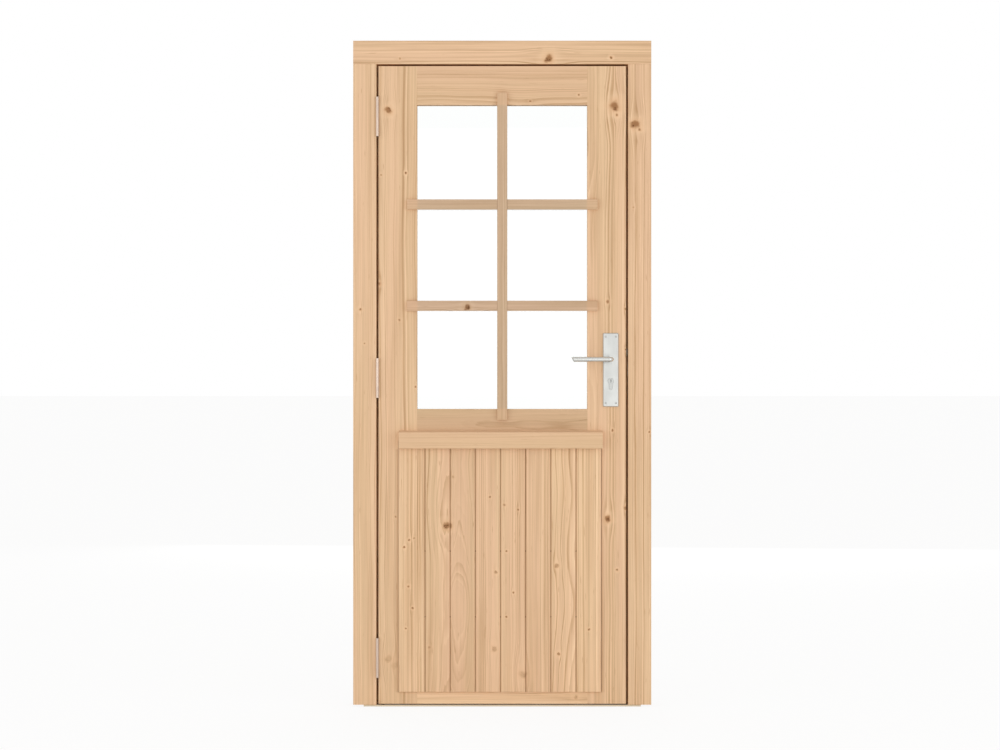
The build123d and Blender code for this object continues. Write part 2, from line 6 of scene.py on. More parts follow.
import bmesh
import bpy
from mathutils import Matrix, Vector


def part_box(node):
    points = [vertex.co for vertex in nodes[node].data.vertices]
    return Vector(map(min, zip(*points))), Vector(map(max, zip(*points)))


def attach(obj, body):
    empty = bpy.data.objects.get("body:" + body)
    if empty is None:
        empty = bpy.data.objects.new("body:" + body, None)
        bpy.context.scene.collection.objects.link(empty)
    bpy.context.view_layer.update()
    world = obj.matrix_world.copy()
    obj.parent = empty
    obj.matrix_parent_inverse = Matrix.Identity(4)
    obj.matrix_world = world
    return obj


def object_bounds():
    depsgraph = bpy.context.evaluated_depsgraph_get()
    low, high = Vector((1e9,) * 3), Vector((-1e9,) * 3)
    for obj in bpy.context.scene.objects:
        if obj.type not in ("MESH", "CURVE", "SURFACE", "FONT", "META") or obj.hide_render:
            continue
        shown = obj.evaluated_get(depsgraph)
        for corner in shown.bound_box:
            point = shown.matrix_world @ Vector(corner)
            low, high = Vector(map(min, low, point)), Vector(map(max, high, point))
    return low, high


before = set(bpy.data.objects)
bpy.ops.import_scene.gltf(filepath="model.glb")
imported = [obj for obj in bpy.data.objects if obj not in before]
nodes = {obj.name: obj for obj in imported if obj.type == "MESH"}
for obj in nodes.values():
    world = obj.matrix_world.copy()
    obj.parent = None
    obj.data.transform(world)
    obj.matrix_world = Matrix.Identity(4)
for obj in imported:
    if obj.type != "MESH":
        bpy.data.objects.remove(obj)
cad_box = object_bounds()

MM = 0.001
WHITE = (1, 1, 1, 1)
NOISE_MIDDLE = 0.5
STOP_GAP = 2 * MM
DOOR_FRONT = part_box("hinge_stile")[0].y
STOP_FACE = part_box("hinge_stile")[1].y + STOP_GAP


def linear(red, green, blue):
    """A colour as it shows on a screen, 0 to 255, as scene-linear RGBA."""
    parts = [channel / 255 for channel in (red, green, blue)]
    return (*[p / 12.92 if p <= 0.04045 else ((p + 0.055) / 1.055) ** 2.4 for p in parts], 1.0)


class Graph:
    """The node tree of one material, with short calls for the nodes used here."""

    def __init__(self, name):
        self.material = bpy.data.materials.new(name)
        self.material.use_nodes = True
        self.tree = self.material.node_tree
        self.shader = self.tree.nodes["Principled BSDF"]

    def node(self, kind, inputs=None, **settings):
        made = self.tree.nodes.new(kind)
        for key, value in settings.items():
            setattr(made, key, value)
        for key, value in (inputs or {}).items():
            self.feed(made.inputs[key], value)
        return made

    def feed(self, socket, value):
        if isinstance(value, bpy.types.NodeSocket):
            self.tree.links.new(value, socket)
        else:
            socket.default_value = value

    def shade(self, **inputs):
        for key, value in inputs.items():
            self.feed(self.shader.inputs[key.replace("_", " ")], value)

    def math(self, operation, *values):
        return self.node("ShaderNodeMath", dict(enumerate(values)), operation=operation).outputs[0]

    def vector(self, operation, *values):
        made = self.node("ShaderNodeVectorMath", dict(enumerate(values)), operation=operation)
        return made.outputs["Value" if operation == "LENGTH" else "Vector"]

    def split(self, position):
        return self.node("ShaderNodeSeparateXYZ", {0: position}).outputs

    def noise(self, position, scale, detail=2.0, roughness=0.5):
        inputs = {"Vector": position, "Scale": scale, "Detail": detail, "Roughness": roughness}
        return self.node("ShaderNodeTexNoise", inputs).outputs["Fac"]

    def line_noise(self, value, scale, detail=2.0):
        inputs = {"W": value, "Scale": scale, "Detail": detail}
        return self.node("ShaderNodeTexNoise", inputs, noise_dimensions="1D").outputs["Fac"]

    def fade(self, value, start, end, low=0.0, high=1.0):
        inputs = {"Value": value, "From Min": start, "From Max": end, "To Min": low, "To Max": high}
        return self.node("ShaderNodeMapRange", inputs, interpolation_type="SMOOTHSTEP").outputs[0]

    def blend(self, factor, first, second, mode="MIX"):
        made = self.node("ShaderNodeMix", data_type="RGBA", blend_type=mode)
        self.feed(made.inputs[0], factor)
        self.feed(made.inputs[6], first)
        self.feed(made.inputs[7], second)
        return made.outputs[2]

    def ramp(self, value, stops):
        made = self.node("ShaderNodeValToRGB", {"Fac": value})
        elements = made.color_ramp.elements
        while len(elements) < len(stops):
            elements.new(1.0)
        for element, (place, colour) in zip(elements, stops):
            element.position = place
            element.color = colour
        return made.outputs["Color"]

    def bump(self, height, strength, distance):
        inputs = {"Height": height, "Strength": strength, "Distance": distance}
        return self.node("ShaderNodeBump", inputs).outputs["Normal"]

    def object_position(self):
        return self.node("ShaderNodeTexCoord").outputs["Object"]


def dress(names, material):
    """Give CAD nodes a material."""
    for name in names:
        nodes[name].data.materials.clear()
        nodes[name].data.materials.append(material)


# Colours of spruce and its knots
EARLY_WOOD = linear(241, 206, 168)
PINK_WOOD = linear(231, 193, 157)
STRAW_WOOD = linear(228, 194, 155)
TAN_WOOD = linear(217, 180, 141)
LATE_WOOD = linear(194, 154, 113)
TICK_WOOD = linear(176, 130, 88)
KNOT_HALO = linear(217, 172, 130)
KNOT_RIM = linear(180, 134, 92)
KNOT_HEART = linear(152, 107, 67)
KNOT_FLECK = linear(108, 68, 36)

# Knots in the faces: x, z and radius in millimetres, and how dark, 1 for a sound brown knot
KNOTS = {
    "head": [(133, 1855, 13, 1.0), (311, 1857, 4, 1.0), (-293, 1854, 3, 0.5)],
    "hinge_jamb": [(-406, 1136, 4.5, 0.8), (-394, 1039, 3, 0.6)],
    "lock_jamb": [
        (380, 1666, 13, 1.0), (393, 1651, 4.5, 0.7), (375, 1428, 3, 0.4), (421, 786, 3, 0.9),
    ],
    "hinge_stile": [
        (-325, 1706, 10, 0.9), (-276, 1526, 3.5, 1.0), (-347, 1521, 3, 0.5), (-353, 1210, 6, 0.9),
        (-295, 1106, 3.5, 0.5), (-248, 915, 3, 0.8), (-305, 543, 3.5, 0.5), (-325, 134, 13, 0.2),
        (-304, 118, 12, 0.14),
    ],
    "lock_stile": [
        (322, 1718, 15, 1.0), (328, 1692, 4.5, 0.9), (301, 537, 10, 0.9), (302, 1158, 4.5, 0.7),
        (353, 1021, 3.5, 1.0), (353, 1137, 4, 0.8), (329, 391, 3.5, 0.8), (316, 790, 3.5, 0.8),
        (353, 569, 6, 0.8),
    ],
    "top_rail": [(219, 1750, 3, 0.9), (80, 1732, 3, 0.7)],
    "bottom_rail": [(212, 27, 7, 0.3)],
    "board_1": [
        (-268, 344, 3.5, 0.7), (-266, 477, 3.5, 0.6), (-252, 482, 3, 0.4), (-280, 456, 3.5, 0.7),
        (-257, 282, 3.5, 0.7), (-276, 224, 3, 0.7),
    ],
    "board_2": [(-157, 517, 11, 0.9), (-209, 170, 4, 0.3)],
    "board_3": [(-150, 517, 9, 0.7), (-140, 657, 5, 0.25)],
    "board_4": [(-35, 600, 3.5, 0.6), (-18, 385, 4.5, 0.5), (-22, 166, 9, 0.3)],
    "board_5": [
        (6, 577, 4, 0.5), (45, 564, 3.5, 0.6), (12, 445, 3, 0.8), (32, 327, 3, 0.8),
        (12, 257, 3, 0.8), (59, 92, 13, 0.25),
    ],
    "board_6": [(63, 92, 13, 0.25)],
    "board_7": [(161, 151, 5, 0.6), (154, 403, 7, 0.45)],
    "board_8": [(248, 221, 3.5, 0.6)],
    "lattice_bar_lower": [(-101, 1141, 9.5, 1.0)],
}

# Tints over the wood's colour: the lattice gets painted shade in front of the glass and is lapped on the
# wood, the middle rail gets painted shade above the drip bar, the bottom rail gets painted light, and other
# pieces are a little darker or lighter than the rest
PLAIN = (1.0, 1.0, 1.0)
GLASS_SHADE = (0.77, 0.80, 0.85)
# Painted shade on the middle rail above the drip bar
SHADED = (0.83, 0.835, 0.81)
LAPPED = (0.86, 0.84, 0.84)
DULLED = (0.95, 0.945, 0.94)
LIGHT = (1.05, 1.06, 1.06)
# Painted light on the bottom rail
PAINTED_LIGHT = (1.10, 1.13, 1.14)

# How each piece was cut. In millimetres: the pith across and behind the piece's middle, the width of a
# ring and the sway of the grain. Figure is the share of the full contrast, and plain is how much of it is
# lost towards one side of the face, above 0 for the right or upper side.
Timber = namedtuple("Timber", "axis across behind ring sway figure plain tint")
TIMBER = {
    "head": Timber("X", -95, 60, 7.0, 4, 1.45, 0.75, PLAIN),
    "hinge_jamb": Timber("Z", 120, 60, 6.5, 4, 0.7, 0.0, PLAIN),
    "lock_jamb": Timber("Z", -85, 50, 6.5, 4, 1.15, 0.3, PLAIN),
    "hinge_stile": Timber("Z", 125, 40, 7.0, 6, 0.95, -0.3, PLAIN),
    "lock_stile": Timber("Z", -62, 35, 5.5, 9, 1.05, -0.2, PLAIN),
    "top_rail": Timber("X", -75, 50, 4.5, 16, 0.5, 0.0, DULLED),
    "middle_rail": Timber("X", 10, 75, 2.6, 8, 0.6, 0.0, SHADED),
    "bottom_rail": Timber("X", 110, 60, 6.5, 4, 1.1, 0.0, PAINTED_LIGHT),
    "board_1": Timber("Z", 100, 40, 7.0, 4, 1.2, -0.5, LIGHT),
    "board_2": Timber("Z", 30, 60, 3.4, 9, 1.0, 0.0, PLAIN),
    "board_3": Timber("Z", -12, 50, 3.2, 22, 0.6, 0.0, DULLED),
    "board_4": Timber("Z", -120, 40, 5.5, 3, 0.9, 0.3, PLAIN),
    "board_5": Timber("Z", 130, 30, 6.0, 5, 0.8, 0.0, PLAIN),
    "board_6": Timber("Z", -120, 60, 6.5, 3, 1.1, 0.4, PLAIN),
    "board_7": Timber("Z", 40, 55, 6.5, 12, 1.2, 0.0, LIGHT),
    "board_8": Timber("Z", -90, 40, 5.5, 3, 1.4, 0.8, LIGHT),
    "drip_bar": Timber("X", 90, 90, 6.0, 3, 0.2, 0.0, DULLED),
    "lattice_upright": Timber("Z", 110, 30, 5.0, 3, 0.8, 0.0, GLASS_SHADE),
    "lattice_bar_upper": Timber("X", -110, 30, 4.5, 3, 0.9, 0.0, GLASS_SHADE),
    "lattice_bar_lower": Timber("X", 90, 40, 4.5, 3, 1.0, 0.0, GLASS_SHADE),
    "glazing_bead_top": Timber("X", 70, 40, 6.0, 3, 0.8, 0.0, PLAIN),
    "glazing_bead_bottom": Timber("X", -70, 40, 6.0, 3, 0.8, 0.0, PLAIN),
    "glazing_bead_left": Timber("Z", 80, 40, 6.0, 3, 0.8, 0.0, PLAIN),
    "glazing_bead_right": Timber("Z", -80, 40, 6.0, 3, 0.8, 0.0, PLAIN),
}

# Noises in the wood: what a coordinate along the grain counts for, then scale, detail and roughness
Streak = namedtuple("Streak", "stretch scale detail roughness")
RIPPLE = Streak(0.06, 26.0, 4.0, 0.6)
PATCHES = Streak(0.09, 15.0, 2.0, 0.5)
DRIFT = Streak(0.05, 15.0, 1.0, 0.5)
BANDS = Streak(0.05, 32.0, 2.0, 0.5)
STREAKS = Streak(0.014, 170.0, 3.0, 0.6)
TICKS = Streak(0.10, 210.0, 1.0, 0.5)
FIBRES = Streak(0.02, 460.0, 3.0, 0.62)

# Shifts that set one piece's noises apart from the next one's, and the bands apart from the drift
SEED_STEPS = (3.1, 1.7, 2.3)
SEED_ALONG = 3.7
SEED_YEARS = 31.0
BAND_SHIFT = (1.3, 0.7, 0.4)

# Rings: how the pith sways and ripples, and how their widths swing from year to year
SWAY_SCALE = 1.7
SWAY_INWARDS = 3
RIPPLE_DEPTH = 9 * MM
YEAR_SCALE = 0.31
YEAR_SWING = 3.2

# Strength of the rings. A fade says from where to where, and some also what comes out at both ends.
# Least and most are the weakest and the strongest lines at the full figure.
PATCH_FADE = (0.32, 0.68, 0.3, 1.0)
VIGOUR_SPAN = (0.3, 0.95)
LATE_LEAST = 0.12
LATE_MOST = 1.35
LATE_RISE = (0.42, 0.90)
LATE_FALL = (0.93, 1.0, 1.0, 0.0)
EARLY_SPAN = (0.2, 1.0)
EARLY_LEAST = 0.1
EARLY_MOST = 0.85
EARLY_RISE = (0.0, 0.03)
EARLY_FALL = (0.02, 0.5, 1.0, 0.0)

# Colour under and over the rings: fades of drift, bands and ticks, tones of streaks and pores, and how
# much bands and streaks show, which grows with the figure
DRIFT_FADE = (0.36, 0.64)
BAND_SPAN = (0.44, 0.72)
TICK_FADE = (0.70, 0.80, 0.0, 0.4)
STREAK_STOPS = [(0.34, (0.86, 0.84, 0.82, 1)), (0.58, WHITE)]
PORE_STOPS = [(0.32, (0.74, 0.70, 0.66, 1)), (0.66, WHITE)]
PORE_SHARE = 0.2
LIVELY_LEAST = 0.2
LIVELY_GAIN = 0.6

# Knots: how far the rings part round them, and their layers as colour, reach from and to in radii, and share
KNOT_STRETCH = 0.36
KNOT_REACH = 3.2
KNOT_SWELL = 0.9
KNOT_CROWDING = 0.5
KNOT_WARP = 1.9
KNOT_WARP_SCALE = 0.6
KNOT_LAYERS = (
    (EARLY_WOOD, 1.3, 3.4, 0.4),
    (KNOT_HALO, 0.7, 2.2, 0.6),
    (KNOT_RIM, 0.6, 1.2, 0.85),
    (KNOT_HEART, 0.35, 0.95, 0.85),
)
FLECK_SCALE = 1.3
FLECK_DETAIL = 3.0
FLECK_ROUGHNESS = 0.65
FLECK_FADE = (0.50, 0.62)
FLECK_FROM = 0.45
FLECK_TO = 0.95
FLECK_SHARE = 0.9

# Finish of the planed wood
WOOD_ROUGHNESS = (0.2, 0.8, 0.55, 0.70)
WOOD_SPECULAR = 0.25
FIBRE_RELIEF = 0.5
WOOD_BUMP = 0.12
WOOD_BUMP_DEPTH = 0.4 * MM

# Painted shade in the V joints of the boards and on the stiles beside them
BOARD_COUNT = 8
BOARD_JOINTS = [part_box(f"board_{index}")[0].x for index in range(1, BOARD_COUNT + 1)]
BOARD_JOINTS.append(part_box(f"board_{BOARD_COUNT}")[1].x)
JOINT_SHADE = (0.76, 0.71, 0.66, 1)
JOINT_CORE = 0.6 * MM
JOINT_EDGE = 3.0 * MM
PANEL_MIDDLE = (BOARD_JOINTS[0] + BOARD_JOINTS[-1]) / 2
PANEL_HALF = (BOARD_JOINTS[-1] - BOARD_JOINTS[0]) / 2
PANEL_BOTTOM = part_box("board_1")[0].z
PANEL_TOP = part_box("drip_bar")[0].z
PANEL_SHADE = (0.84, 0.80, 0.76, 1)
PANEL_SHADE_WIDTH = 14 * MM
PANEL_SHADE_END = 4 * MM
FACE_START = 1 * MM
FACE_END = 3 * MM

# Painted warm bounce light on the wood in the rebate of the frame, which the leaf keeps out of the light
GAP_PIECES = ("head", "hinge_jamb", "lock_jamb")
GAP_SIDE = (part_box("lock_stile")[1].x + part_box("strike_plate")[0].x) / 2
GAP_RISE = 3 * MM
GAP_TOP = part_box("lock_stile")[1].z + GAP_RISE
GAP_BOUNCE_TINT = (1.10, 0.96, 0.78, 1)
GAP_NEAR = 3.6 * MM
GAP_FAR = 4.4 * MM
GAP_FRONT_START = 0.4 * MM
GAP_FRONT_END = 3 * MM
GAP_STOP_START = 0.5 * MM
GAP_STOP_END = 2 * MM

# The opening of the glass, and where the lattice's painted shade changes beside its edge
GLASS_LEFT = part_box("hinge_stile")[1].x
GLASS_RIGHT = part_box("lock_stile")[0].x
GLASS_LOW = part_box("middle_rail")[1].z
GLASS_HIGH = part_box("top_rail")[0].z
LAP_INSIDE = 6 * MM
LAP_OUTSIDE = 3 * MM


class Plank:
    """One piece of timber while its material is made: its cut, its node tree and the coordinates in it."""

    def __init__(self, name, seed):
        self.name = name
        self.seed = seed
        self.timber = TIMBER[name]
        self.upright = self.timber.axis == "Z"
        self.graph = Graph(f"spruce_{name}")
        self.position = self.graph.object_position()
        self.straight = self.graph.split(self.position)["X" if self.upright else "Z"]
        self.shifted = self.graph.vector("ADD", self.position, [seed * step for step in SEED_STEPS])

    def drawn_out(self, position, share):
        """Coordinates drawn out along the grain, so that what follows them runs in streaks."""
        return self.graph.vector("MULTIPLY", position, (1, 1, share) if self.upright else (share, 1, 1))

    def streaks(self, position, streak):
        """Noise in streaks along the grain."""
        drawn = self.drawn_out(position, streak.stretch)
        return self.graph.noise(drawn, streak.scale, streak.detail, streak.roughness)


def part_round_knots(plank):
    """Coordinates across the grain that part round the knots, how rings crowd there, and the knots."""
    g = plank.graph
    across = plank.straight
    crowding = None
    knots = []
    for x, z, size, depth in KNOTS.get(plank.name, []):
        radius = size * MM
        centre = Vector((x, 0, z)) * MM
        flat = g.vector("MULTIPLY", g.vector("SUBTRACT", plank.position, centre), (1, 0, 1))
        reach = g.vector("LENGTH", plank.drawn_out(flat, KNOT_STRETCH))
        swell = g.fade(reach, 0.0, KNOT_REACH * radius, KNOT_SWELL, 0.0)
        offset = g.math("SUBTRACT", across, centre.x if plank.upright else centre.z)
        across = g.math("SUBTRACT", across, g.math("MULTIPLY", offset, swell))
        crowd = g.math("MULTIPLY", swell, KNOT_CROWDING * depth)
        crowding = crowd if crowding is None else g.math("MAXIMUM", crowding, crowd)
        knots.append((flat, radius, depth))
    return across, crowding, knots


def growth_rings(plank, across):
    """Ring count about a pith behind the face, which sways along the grain."""
    g = plank.graph
    timber = plank.timber
    name = plank.name
    low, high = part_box(name)
    middle = (low + high) / 2
    split = g.split(plank.position)
    along = g.math("ADD", split["Z" if plank.upright else "X"], plank.seed * SEED_ALONG)
    sway = g.math("SUBTRACT", g.line_noise(along, SWAY_SCALE), NOISE_MIDDLE)
    ripple = g.math("SUBTRACT", plank.streaks(plank.position, RIPPLE), NOISE_MIDDLE)
    pith = (middle.x if plank.upright else middle.z) + timber.across * MM
    sideways = g.math("MULTIPLY_ADD", sway, timber.sway * MM, g.math("SUBTRACT", across, pith))
    inwards = g.math("SUBTRACT", split["Y"], middle.y + timber.behind * MM)
    inwards = g.math("MULTIPLY_ADD", sway, SWAY_INWARDS * timber.sway * MM, inwards)
    squares = g.math("ADD", g.math("MULTIPLY", sideways, sideways), g.math("MULTIPLY", inwards, inwards))
    radius = g.math("MULTIPLY_ADD", ripple, RIPPLE_DEPTH, g.math("SQRT", squares))
    rings = g.math("DIVIDE", radius, timber.ring * MM)
    return g.math("MULTIPLY_ADD", g.line_noise(rings, YEAR_SCALE), YEAR_SWING, rings)


def lined_share(plank):
    """1 on the side of a face with the strongest rings, less on the plainer side."""
    name = plank.name
    low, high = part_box(name)
    start, end = (low.x, high.x) if plank.upright else (low.z, high.z)
    plain = plank.timber.plain
    return plank.graph.fade(plank.straight, start, end, 1 - max(0, -plain), 1 - max(0, plain))


def ring_tones(plank, across, crowding):
    """Shares of pale spring wood and of each ring's dark line, stronger in some years and places."""
    g = plank.graph
    figure = plank.timber.figure
    rings = growth_rings(plank, across)
    share = g.math("FRACT", rings)
    year = g.math("ADD", g.math("FLOOR", rings), plank.seed * SEED_YEARS)
    vigour = g.node("ShaderNodeTexWhiteNoise", {"W": year}, noise_dimensions="1D").outputs["Value"]
    patches = g.fade(plank.streaks(plank.shifted, PATCHES), *PATCH_FADE)
    strength = g.math("MULTIPLY", g.fade(vigour, *VIGOUR_SPAN, LATE_LEAST, LATE_MOST * figure), patches)
    strength = g.math("MULTIPLY", strength, lined_share(plank))
    if crowding is not None:
        strength = g.math("ADD", strength, crowding)
    late = g.math("MULTIPLY", g.fade(share, *LATE_RISE), g.fade(share, *LATE_FALL))
    late = g.math("MULTIPLY", late, strength)
    early = g.math("MULTIPLY", g.fade(share, *EARLY_FALL), g.fade(share, *EARLY_RISE))
    paleness = g.fade(vigour, *EARLY_SPAN, EARLY_LEAST * figure, EARLY_MOST * figure)
    return g.math("MULTIPLY", early, paleness), late


def planed_colour(plank, early, late, fibres):
    """Slow drifts of pink, straw and tan under the rings, with streaks, resin ticks and fibres."""
    g = plank.graph
    lively = LIVELY_LEAST + LIVELY_GAIN * plank.timber.figure
    colour = g.blend(g.fade(plank.streaks(plank.shifted, DRIFT), *DRIFT_FADE), PINK_WOOD, STRAW_WOOD)
    bands = plank.streaks(g.vector("ADD", plank.shifted, BAND_SHIFT), BANDS)
    colour = g.blend(g.fade(bands, *BAND_SPAN, 0.0, lively), colour, TAN_WOOD)
    colour = g.blend(early, colour, EARLY_WOOD)
    colour = g.blend(late, colour, LATE_WOOD)
    streaks = g.ramp(plank.streaks(plank.shifted, STREAKS), STREAK_STOPS)
    colour = g.blend(lively, colour, streaks, "MULTIPLY")
    ticks = g.fade(plank.streaks(plank.shifted, TICKS), *TICK_FADE)
    colour = g.blend(ticks, colour, TICK_WOOD)
    return g.blend(PORE_SHARE, colour, g.ramp(fibres, PORE_STOPS), "MULTIPLY")


def with_knots(plank, knots, colour):
    """Knots over the wood: a pale swelling, a warm halo, a brown body and flecks, none quite round."""
    g = plank.graph
    for flat, radius, depth in knots:
        warp = g.math("SUBTRACT", g.noise(plank.shifted, KNOT_WARP_SCALE / radius), NOISE_MIDDLE)
        reach = g.math("MULTIPLY_ADD", warp, KNOT_WARP * radius, g.vector("LENGTH", flat))
        for tone, start, end, share in KNOT_LAYERS:
            layer = g.fade(reach, start * radius, end * radius, share * depth, 0.0)
            colour = g.blend(layer, colour, tone)
        flecks = g.noise(plank.shifted, FLECK_SCALE / radius, FLECK_DETAIL, FLECK_ROUGHNESS)
        inside = g.fade(reach, FLECK_FROM * radius, FLECK_TO * radius, FLECK_SHARE * depth, 0.0)
        colour = g.blend(g.math("MULTIPLY", g.fade(flecks, *FLECK_FADE), inside), colour, KNOT_FLECK)
    return colour


def joint_shade(plank):
    """White on the face of a board, brown in the V at each joint: painted shade."""
    g = plank.graph
    index = int(plank.name.split("_")[1])
    shade = None
    for joint in BOARD_JOINTS[index - 1:index + 1]:
        if joint in BOARD_JOINTS[1:-1]:
            off = g.math("ABSOLUTE", g.math("SUBTRACT", plank.straight, joint))
            near = g.fade(off, JOINT_CORE, JOINT_EDGE, 1.0, 0.0)
            shade = near if shade is None else g.math("MAXIMUM", shade, near)
    return g.ramp(shade, [(0, WHITE), (1, JOINT_SHADE)])


def panel_shade(plank):
    """White on a stile, browner on its front face close beside the boards: painted shade."""
    g = plank.graph
    split = g.split(plank.position)
    from_middle = g.math("ABSOLUTE", g.math("SUBTRACT", split["X"], PANEL_MIDDLE))
    near = g.fade(g.math("SUBTRACT", from_middle, PANEL_HALF), 0.0, PANEL_SHADE_WIDTH, 1.0, 0.0)
    below = g.fade(split["Z"], PANEL_TOP - PANEL_SHADE_END, PANEL_TOP, 1.0, 0.0)
    above = g.fade(split["Z"], PANEL_BOTTOM - PANEL_SHADE_END, PANEL_BOTTOM)
    front = g.fade(split["Y"], DOOR_FRONT + FACE_START, DOOR_FRONT + FACE_END, 1.0, 0.0)
    shade = g.math("MULTIPLY", g.math("MULTIPLY", near, front), g.math("MULTIPLY", below, above))
    return g.ramp(shade, [(0, WHITE), (1, PANEL_SHADE)])


def glass_shade_share(plank):
    """1 in front of the glass, where the lattice gets painted shade, 0 on the wood round it."""
    g = plank.graph
    split = g.split(plank.position)
    inside = None
    for axis, low, high in (("X", GLASS_LEFT, GLASS_RIGHT), ("Z", GLASS_LOW, GLASS_HIGH)):
        off = g.math("ABSOLUTE", g.math("SUBTRACT", split[axis], (low + high) / 2))
        reach = (high - low) / 2
        within = g.fade(off, reach - LAP_INSIDE, reach + LAP_OUTSIDE, 1.0, 0.0)
        inside = within if inside is None else g.math("MULTIPLY", inside, within)
    return inside


def rebate_bounce_share(plank):
    """Share of the painted warm bounce light: 1 in the rebate that the leaf shuts into, down to the stop, 0
    on the faces that stay in the light.
    """
    g = plank.graph
    split = g.split(plank.position)
    aside = g.math("SUBTRACT", g.math("ABSOLUTE", split["X"]), GAP_SIDE)
    above = g.math("SUBTRACT", split["Z"], GAP_TOP)
    off = g.math("ABSOLUTE", g.math("MAXIMUM", aside, above))
    behind = g.fade(split["Y"], DOOR_FRONT + GAP_FRONT_START, DOOR_FRONT + GAP_FRONT_END)
    before = g.fade(split["Y"], STOP_FACE + GAP_STOP_START, STOP_FACE + GAP_STOP_END, 1.0, 0.0)
    near = g.fade(off, GAP_NEAR, GAP_FAR, 1.0, 0.0)
    return g.math("MULTIPLY", near, g.math("MULTIPLY", behind, before))


def tinted(plank, colour):
    """The colour with its painted shade at the joints and beside the boards, its tint and its share of the
    rebate's painted bounce light.
    """
    g = plank.graph
    if plank.name.startswith("board_"):
        # Painted shade in the joints of the boards
        colour = g.blend(1.0, colour, joint_shade(plank), "MULTIPLY")
    if plank.name.endswith("_stile"):
        # Painted shade on the stiles beside the boards
        colour = g.blend(1.0, colour, panel_shade(plank), "MULTIPLY")
    tint = (*plank.timber.tint, 1)
    if plank.name.startswith("lattice_"):
        # Painted shade on the lattice in front of the glass
        tint = g.blend(glass_shade_share(plank), (*LAPPED, 1), tint)
    colour = g.blend(1.0, colour, tint, "MULTIPLY")
    if plank.name in GAP_PIECES:
        # Painted warm bounce light in the rebate
        warm = g.blend(1.0, colour, GAP_BOUNCE_TINT, "MULTIPLY")
        colour = g.blend(rebate_bounce_share(plank), colour, warm)
    return colour


def spruce(name, seed):
    """Planed spruce: growth rings of uneven width and strength that part round the knots."""
    plank = Plank(name, seed)
    g = plank.graph
    across, crowding, knots = part_round_knots(plank)
    early, late = ring_tones(plank, across, crowding)
    fibres = plank.streaks(plank.shifted, FIBRES)
    colour = with_knots(plank, knots, planed_colour(plank, early, late, fibres))
    relief = g.math("MULTIPLY_ADD", fibres, FIBRE_RELIEF, late)
    g.shade(
        Base_Color=tinted(plank, colour),
        Roughness=g.fade(fibres, *WOOD_ROUGHNESS),
        Normal=g.bump(relief, WOOD_BUMP, WOOD_BUMP_DEPTH),
    )
    g.shader.inputs["Specular IOR Level"].default_value = WOOD_SPECULAR
    return g.material


# Satin metal: fine strokes, and slow clouds of smoother and rougher wear
STROKE_SCALE = 60.0
STROKE_DETAIL = 4.0
STROKE_ROUGHNESS = 0.65
STROKE_DARK = 0.35
STROKE_PALE = 0.65
STROKE_BUMP = 0.05
STROKE_DEPTH = 0.2 * MM
CLOUD_SCALE = 18.0
CLOUD_SPAN = (0.35, 0.7)
WORN_SMOOTHER = 0.04
WORN_ROUGHER = 0.05
# Where painted shade on a metal's front face fades out, and the threshold's painted-shade colour
EDGE_START = 0.3 * MM
EDGE_END = 1.5 * MM
SILL_FRONT_SHADE = linear(203, 186, 161)


def brushed_metal(name, colour, roughness, stroke, contrast=0.10, edge=None):
    """Satin metal with strokes scaled along X, Y and Z, and painted shade in a colour of its own on the front
    face if edge is set.
    """
    g = Graph(name)
    drawn = g.vector("MULTIPLY", g.object_position(), stroke)
    strokes = g.noise(drawn, STROKE_SCALE, STROKE_DETAIL, STROKE_ROUGHNESS)
    cloud = g.noise(g.object_position(), CLOUD_SCALE)
    dark = tuple(c * (1 - contrast) for c in colour[:3]) + (1,)
    shown = g.ramp(strokes, [(STROKE_DARK, dark), (STROKE_PALE, colour)])
    # Painted shade on the front face
    if edge is not None:
        depth = g.split(g.object_position())["Y"]
        front = g.fade(depth, DOOR_FRONT + EDGE_START, DOOR_FRONT + EDGE_END, 1.0, 0.0)
        shown = g.blend(front, shown, edge)
    g.shade(
        Base_Color=shown,
        Roughness=g.fade(cloud, *CLOUD_SPAN, roughness - WORN_SMOOTHER, roughness + WORN_ROUGHER),
        Normal=g.bump(strokes, STROKE_BUMP, STROKE_DEPTH),
    )
    g.shader.inputs["Metallic"].default_value = 1.0
    return g.material


# Glass and the tape it sits on
GLASS_BODY = (0.985, 0.995, 0.99, 1)
GLASS_IOR = 1.45
DUST_SCALE = 30.0
DUST_DETAIL = 3.0
DUST_FADE = (0.55, 0.8, 0.0, 0.03)
CELL_SCALE = 900.0
CELL_STOPS = [(0.3, linear(196, 196, 190)), (0.7, linear(222, 222, 216))]
CELL_BUMP = 0.2
CELL_DEPTH = 0.3 * MM
TAPE_ROUGHNESS = 0.8


def clear_glass():
    """Float glass with a faint green body and a trace of dust."""
    g = Graph("clear_glass")
    dust = g.noise(g.object_position(), DUST_SCALE, DUST_DETAIL)
    g.shade(Roughness=g.fade(dust, *DUST_FADE))
    g.shader.inputs["Base Color"].default_value = GLASS_BODY
    g.shader.inputs["Transmission Weight"].default_value = 1.0
    g.shader.inputs["IOR"].default_value = GLASS_IOR
    return g.material


def foam_tape():
    """Pale closed-cell foam."""
    g = Graph("foam_tape")
    cells = g.noise(g.object_position(), CELL_SCALE)
    g.shade(Base_Color=g.ramp(cells, CELL_STOPS), Normal=g.bump(cells, CELL_BUMP, CELL_DEPTH))
    g.shader.inputs["Roughness"].default_value = TAPE_ROUGHNESS
    return g.material


# Materials on the CAD nodes
for order, piece in enumerate(TIMBER):
    dress([piece], spruce(piece, order + 1))

